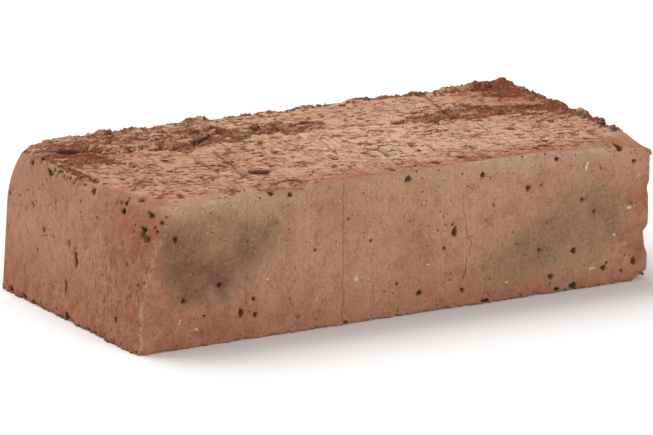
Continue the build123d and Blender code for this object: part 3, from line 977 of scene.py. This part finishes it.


# Colours of the fired clay, some of them painted shade and highlight
BUFF = colour(191, 145, 118)
ROSE = colour(175, 123, 98)
RED_CLAY = colour(160, 94, 66)
PALE_SKIN = colour(194, 160, 134)
FLASH_OLIVE = colour(147, 118, 91)
FLASH_BROWN = colour(112, 85, 70)
FLASH_SPECK = colour(172, 144, 104)
# Near-black painted shade of pits, pin holes and pressed marks, also the dark of the crack line
SHADE_AND_CRACK_DARK = colour(66, 37, 28)
# Dark red-brown painted shade of tears, drag grooves and the rims of pressed marks, also the colour of the
# scratches and die lines
SHADE_AND_SCRATCH_RED = colour(88, 46, 31)
PATCH_RED = colour(144, 78, 50)
TORN_RED = colour(160, 89, 57)
# Painted shade in the crevices between the torn crumbs
TORN_CREVICE_SHADE = colour(112, 61, 40)
# Painted highlight on the tops of the torn crumbs
CRUMB_HIGHLIGHT = colour(198, 145, 106)
SCORCHED = colour(108, 64, 50)
IRON = colour(86, 90, 104)
LIME = colour(210, 190, 164)
BED_PALE = colour(208, 168, 136)
BED_ROSE = colour(179, 128, 98)

# Faint lines that the die drew up the front: place along, and how strong
DIE_LINES = [(52, 0.4), (98.5, 0.6), (113, 0.3), (30.5, 0.25)]

# Pale seam up the left end and swirl on the front, measured from the middle of the brick's foot
SEAM_INWARD = 3.5
SWIRL_MIDDLE = (98.0, -60.0, 32.0)


class ClayPaint(Maker):
    """The clay's colours: the values that its coats share, and the tone that they build up."""

    def __init__(self, tree):
        super().__init__(tree)
        self.place = self.kept("grain_place", "Vector")
        self.bed = self.kept("bed_share")
        self.smooth = 1.0 - self.bed
        self.torn = ragged(self, self.place, self.kept("torn_share")) * self.bed
        self.clouds = self.noise(self.place, (34.0, 34.0, 26.0), detail=4.0, roughness=0.6)
        self.mottle = self.noise(self.place, (4.5, 4.5, 6.0), detail=5.0, roughness=0.68)
        self.streaks = self.noise(self.place, (0.9, 0.9, 40.0), detail=3.0, roughness=0.6)
        self.grit = self.noise(self.place, (1.2, 1.2, 1.4), detail=3.0, roughness=0.7)
        self.grain = self.noise(self.place, (0.5, 0.5, 0.5), detail=3.0, roughness=0.7)
        self.patchy = self.step(self.mottle, 0.40, 0.60)
        self.waver = 5.0 * (self.noise(self.place, (9.0, 9.0, 7.0), detail=3.0) - 0.5)
        self.along, self.inward, self.up = self.measures(self.kept("clay_place", "Vector"))
        self.tone = BUFF

    def kept(self, name, field="Fac"):
        """A value that the mesh keeps for each point."""
        return self.wire("ShaderNodeAttribute", output=field, attribute_name=name)

    def blend(self, share, under, over):
        """One colour laid over another by a share."""
        made = self.node("ShaderNodeMix", data_type="RGBA")
        for number, value in ((0, share), (6, under), (7, over)):
            self.feed(made.inputs[number], value)
        return Wire(self, made.outputs[2])

    def coat(self, share, paint):
        """Lays one more colour over the tone so far."""
        self.tone = self.blend(share, self.tone, paint)

    def line(self, offset, inner, outer):
        """A fine line where a signed distance is nought."""
        return self.step(abs(offset), outer, inner)


def paint_skin(clay):
    """Buff and rose clay, reddened and greyed by the kiln, with a pale skin in places."""
    clay.coat(0.6 * clay.step(clay.clouds, 0.38, 0.60), ROSE)
    clay.coat(0.35 * clay.step(clay.mottle, 0.49, 0.62), RED_CLAY)
    clay.coat(0.16 * clay.step(clay.streaks, 0.53, 0.64) * clay.smooth, RED_CLAY)
    clay.coat(clay.bed, clay.blend(0.8 * clay.step(clay.mottle, 0.47, 0.60), BED_PALE, BED_ROSE))
    clay.coat(clay.kept("red_share") * (0.6 + 0.4 * clay.patchy), RED_CLAY)
    flash = clay.kept("flash_share")
    burnt = 1.1 * (flash - 0.6) + 1.5 * (clay.clouds - 0.5)
    burnt = clay.math("MAXIMUM", clay.math("MINIMUM", burnt, 1.0), 0.0)
    grey = clay.blend(burnt, FLASH_OLIVE, FLASH_BROWN)
    grey = clay.blend(0.35 * clay.step(clay.grit, 0.54, 0.62), grey, FLASH_SPECK)
    clay.coat(clay.math("MINIMUM", flash, 1.0) * (0.75 + 0.2 * clay.patchy), grey)
    clay.coat(clay.kept("scorch_share") * (0.45 + 0.2 * clay.patchy), SCORCHED)
    clay.coat(clay.kept("pale_share") * (0.5 + 0.5 * clay.patchy), PALE_SKIN)


def paint_torn_bed(clay):
    """Crumbled, torn and dragged clay of the wire-cut beds, with painted shade in its crevices, tears and
    drag grooves and a painted highlight on its crumbs. Returns its fine height.
    """
    patches = torn_patches(clay, clay.place, clay.torn) * clay.bed
    dash = dashes(clay, clay.place) * clay.bed
    drag = drags(clay, clay.place) * clay.bed
    crumb = clay.noise(clay.place, (2.8, 1.9, 2.4), detail=5.0, roughness=0.68, warp=0.3)
    # Painted highlight where the crumbs' bump is high, more of it on the raised ledge
    light = 0.45 * clay.step(crumb, 0.53, 0.61)
    light += 0.55 * clay.step(crumb, 0.44, 0.52) * clay.kept("ledge_share")
    # Painted shade where the crumbs' bump is low, with the torn red between
    crumb_light_and_shade = clay.blend(clay.step(crumb, 0.45, 0.56), TORN_CREVICE_SHADE, TORN_RED)
    crumb_light_and_shade = clay.blend(light, crumb_light_and_shade, CRUMB_HIGHLIGHT)
    clay.coat(clay.torn * (0.65 + 0.3 * clay.patchy), crumb_light_and_shade)
    clay.coat(0.4 * clay.step(clay.kept("worn_depth"), 0.4, 1.6) * clay.bed, TORN_RED)
    clay.coat(0.92 * patches, PATCH_RED)
    # Painted shade in the tears, and fainter painted shade in the drag grooves
    clay.coat(0.95 * dash, SHADE_AND_SCRATCH_RED)
    clay.coat(0.35 * drag, SHADE_AND_SCRATCH_RED)
    return 2.2 * crumb * clay.torn - 0.4 * patches - 0.8 * dash - 0.35 * drag


def paint_hollows(clay):
    """Painted shade in pits, pin holes and pressed marks, red chips and pale teeth. Returns its height."""
    pits = die_pits(clay, clay.place) * clay.smooth
    # Painted shade in the small pits of the smooth faces
    clay.coat(0.75 * pits, SHADE_AND_CRACK_DARK)
    holes = pin_holes(clay, clay.place) * (1.0 - 0.6 * clay.bed)
    # Painted shade in the pin holes
    clay.coat(0.6 * holes, SHADE_AND_CRACK_DARK)
    # Painted shade in the pressed marks, corner pits, grooves, the ledge's foot and the hollows under the
    # teeth, darker where deeper
    broken = clay.kept("pressed_depth") + 1.3 * (clay.grit - 0.5)
    clay.coat(0.55 * clay.step(broken, 0.12, 0.5), SHADE_AND_SCRATCH_RED)
    clay.coat(0.8 * clay.step(broken, 0.42, 0.95), SHADE_AND_CRACK_DARK)
    clay.coat(clay.step(clay.kept("chip_depth"), 0.1, 0.7) * (0.2 + 0.3 * clay.patchy), RED_CLAY)
    clay.coat(0.4 * clay.step(clay.kept("tooth_height"), 0.1, 0.4), BED_PALE)
    return -0.35 * pits - 0.25 * holes


def paint_dark_lines(clay):
    """Scratches of the left end, lines that the die drew, and the firing crack. Returns their height."""
    scratch = clay.noise(clay.place, (0.7, 0.7, 3.0), detail=4.0, roughness=0.62)
    scratched = 0.75 * clay.kept("scratched_share") + 0.3 * clay.kept("left_share")
    scratches = clay.step(scratch, 0.585, 0.62) * scratched
    clay.coat(0.7 * scratches, SHADE_AND_SCRATCH_RED)
    die_lines = 0.0
    for along, strong in DIE_LINES:
        offset = clay.along - (along - LENGTH / 2) + 0.4 * clay.waver
        die_lines = clay.math("MAXIMUM", die_lines, clay.line(offset, 0.08, 0.30) * strong)
    die_lines *= clay.kept("front_share")
    clay.coat(0.7 * die_lines, SHADE_AND_SCRATCH_RED)
    crack = clay.line(clay.kept("crack_offset") + 1.2 * clay.waver, 0.06, 0.28)
    crack *= clay.kept("crack_share") * (0.45 + 0.5 * clay.patchy)
    clay.coat(0.8 * crack, SHADE_AND_CRACK_DARK)
    return -0.35 * (scratches + crack) - 0.25 * die_lines


def paint_pale_lines(clay):
    """Flaky bead and seam of skin, the bead pale partly as skin and partly as a painted highlight on the
    near arris, and the faint rings of a swirl on the front. Returns their height.
    """
    flaky = clay.step(clay.noise(clay.place, (1.6, 1.6, 3.2), detail=3.0), 0.43, 0.53)
    bead = clay.line(clay.kept("bead_offset") + clay.waver, 0.2, 1.5) * clay.kept("bead_share")
    seam = clay.line(clay.inward - SEAM_INWARD + 0.5 * clay.waver, 0.1, 0.5)
    seam *= clay.kept("left_share") * clay.step(clay.up, 50, 38)
    lines = (bead + 0.6 * seam) * flaky
    # Pale skin over the seam, and over the bead partly as a painted highlight on the near arris
    clay.coat(0.6 * lines, PALE_SKIN)
    away = clay.vector("SUBTRACT", clay.kept("clay_place", "Vector"), SWIRL_MIDDLE)
    radius = clay.wire("ShaderNodeVectorMath", away, output="Value", operation="LENGTH")
    rings = clay.noise(clay.joined(radius + 0.7 * clay.waver), (1.1, 1.0, 1.0), detail=2.0)
    inside = clay.step(radius, 12, 17) * clay.step(radius, 34, 24) * clay.step(clay.up, 34, 42)
    swirls = clay.step(rings, 0.50, 0.62) * inside * clay.kept("front_share") * clay.patchy
    clay.coat(0.4 * swirls, PALE_SKIN)
    return 0.12 * (lines + swirls)


def paint_specks(clay):
    """Dark specks of iron in the smooth faces, more of them where it is bluish, and pale lime."""
    distance, chance, _ = clay.cells(clay.place, (2.0, 2.0, 2.0))
    speck = clay.step(distance, 0.18, 0.08)
    rare = 0.90 - 0.32 * clay.kept("blue_share")
    clay.coat(0.75 * speck * clay.math("GREATER_THAN", chance, rare) * clay.smooth, IRON)
    clay.coat(0.5 * speck * clay.step(chance, 0.14, 0.12), LIME)
    clay.coat(clay.step(clay.kept("stone_height"), 0.04, 0.12), LIME)


def fired_clay():
    """Matt fired clay: the coats of colour one over the other, some of them painted shade and highlight,
    with a sandy grain and fine bumps.
    """
    material = bpy.data.materials.new("fired_clay")
    material.use_nodes = True
    material.node_tree.nodes.clear()
    clay = ClayPaint(material.node_tree)
    paint_skin(clay)
    height = paint_torn_bed(clay) + paint_hollows(clay)
    height += paint_dark_lines(clay) + paint_pale_lines(clay)
    paint_specks(clay)
    fine_drag = clay.noise(slanted(clay, clay.place), (0.8, 60.0, 30.0), detail=2.0)
    height += 0.35 * clay.grain + clay.grit * (0.75 - 0.5 * clay.bed)
    height += 0.25 * clay.streaks * clay.smooth + 0.18 * fine_drag * clay.bed
    sandy = 0.8 * (clay.grain - 0.5) + 0.75 * (clay.grit - 0.5)
    looks = {
        "Base Color": clay.scaled(clay.tone, 1.0 + sandy),
        "Roughness": 0.86 + 0.12 * clay.grain,
        "Specular IOR Level": 0.22,
        "Normal": clay.wire("ShaderNodeBump", named={"Strength": 1.0, "Distance": MM, "Height": height}),
    }
    clay.node("ShaderNodeOutputMaterial", clay.wire("ShaderNodeBsdfPrincipled", named=looks))
    return material


def studio_floor():
    """Plain pale floor, wide enough to fill every view."""
    mesh = bpy.data.meshes.new("studio_floor")
    reach = 12.0
    corners = [(-reach, -reach, 0), (reach, -reach, 0), (reach, reach, 0), (-reach, reach, 0)]
    mesh.from_pydata(corners, [], [(0, 1, 2, 3)])
    paint = bpy.data.materials.new("pale_floor")
    paint.use_nodes = True
    shader = paint.node_tree.nodes["Principled BSDF"]
    shader.inputs["Base Color"].default_value = (0.94, 0.94, 0.94, 1)
    shader.inputs["Roughness"].default_value = 0.9
    shader.inputs["Specular IOR Level"].default_value = 0.1
    mesh.materials.append(paint)
    floor = bpy.data.objects.new("studio_floor", mesh)
    bpy.context.collection.objects.link(floor)


def soft_light(name, place, aim, size, power):
    """A square soft box at a place, turned to what it lights."""
    lamp = bpy.data.lights.new(name, "AREA")
    lamp.shape = "SQUARE"
    lamp.size = size
    lamp.energy = power
    light = bpy.data.objects.new(name, lamp)
    light.location = place
    light.rotation_euler = (Vector(aim) - Vector(place)).to_track_quat("-Z", "Y").to_euler()
    bpy.context.collection.objects.link(light)


def studio_lights():
    """Overhead, left and front soft boxes, and an even pale surround."""
    middle = (0, 0, 0.03)
    soft_light("overhead", (-0.3, 0.8, 1.5), middle, 1.2, 25)
    soft_light("left_box", (-1.9, 0.2, 0.8), middle, 0.8, 5)
    soft_light("front_box", (0.5, -2.0, 0.9), middle, 0.8, 15)
    world = bpy.data.worlds.new("surround")
    world.use_nodes = True
    sky = world.node_tree.nodes["Background"]
    sky.inputs["Color"].default_value = (1, 1, 1, 1)
    sky.inputs["Strength"].default_value = 0.40
    bpy.context.scene.world = world


# The photograph's view, found by fitting the brick's outline
CAMERA_PLACE = Vector((-1.91694, -3.29595, 1.06434))
CAMERA_TURN = radians(-30.18)
CAMERA_RISE = radians(15.19)
CAMERA_ROLL = radians(0.40)
LENS = 511.5


def photo_camera():
    """Long lens at the photograph's angle."""
    back = Vector((
        sin(CAMERA_TURN) * cos(CAMERA_RISE), -cos(CAMERA_TURN) * cos(CAMERA_RISE), sin(CAMERA_RISE)
    ))
    right = (-back).cross(Vector((0, 0, 1))).normalized()
    up = right.cross(-back)
    tilted_right = right * cos(CAMERA_ROLL) + up * sin(CAMERA_ROLL)
    tilted_up = up * cos(CAMERA_ROLL) - right * sin(CAMERA_ROLL)
    lens = bpy.data.cameras.new("photo_camera")
    lens.sensor_width = 36
    lens.sensor_fit = "HORIZONTAL"
    lens.lens = LENS
    lens.clip_end = 50
    camera = bpy.data.objects.new("photo_camera", lens)
    turn = Matrix((tilted_right, tilted_up, back)).transposed().to_4x4()
    camera.matrix_world = Matrix.Translation(CAMERA_PLACE) @ turn
    bpy.context.collection.objects.link(camera)
    bpy.context.scene.camera = camera


brick = fired_brick(fired_clay())
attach(brick, "root")
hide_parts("brick")
studio_floor()
studio_lights()
photo_camera()
bpy.context.scene.view_settings.view_transform = "Standard"
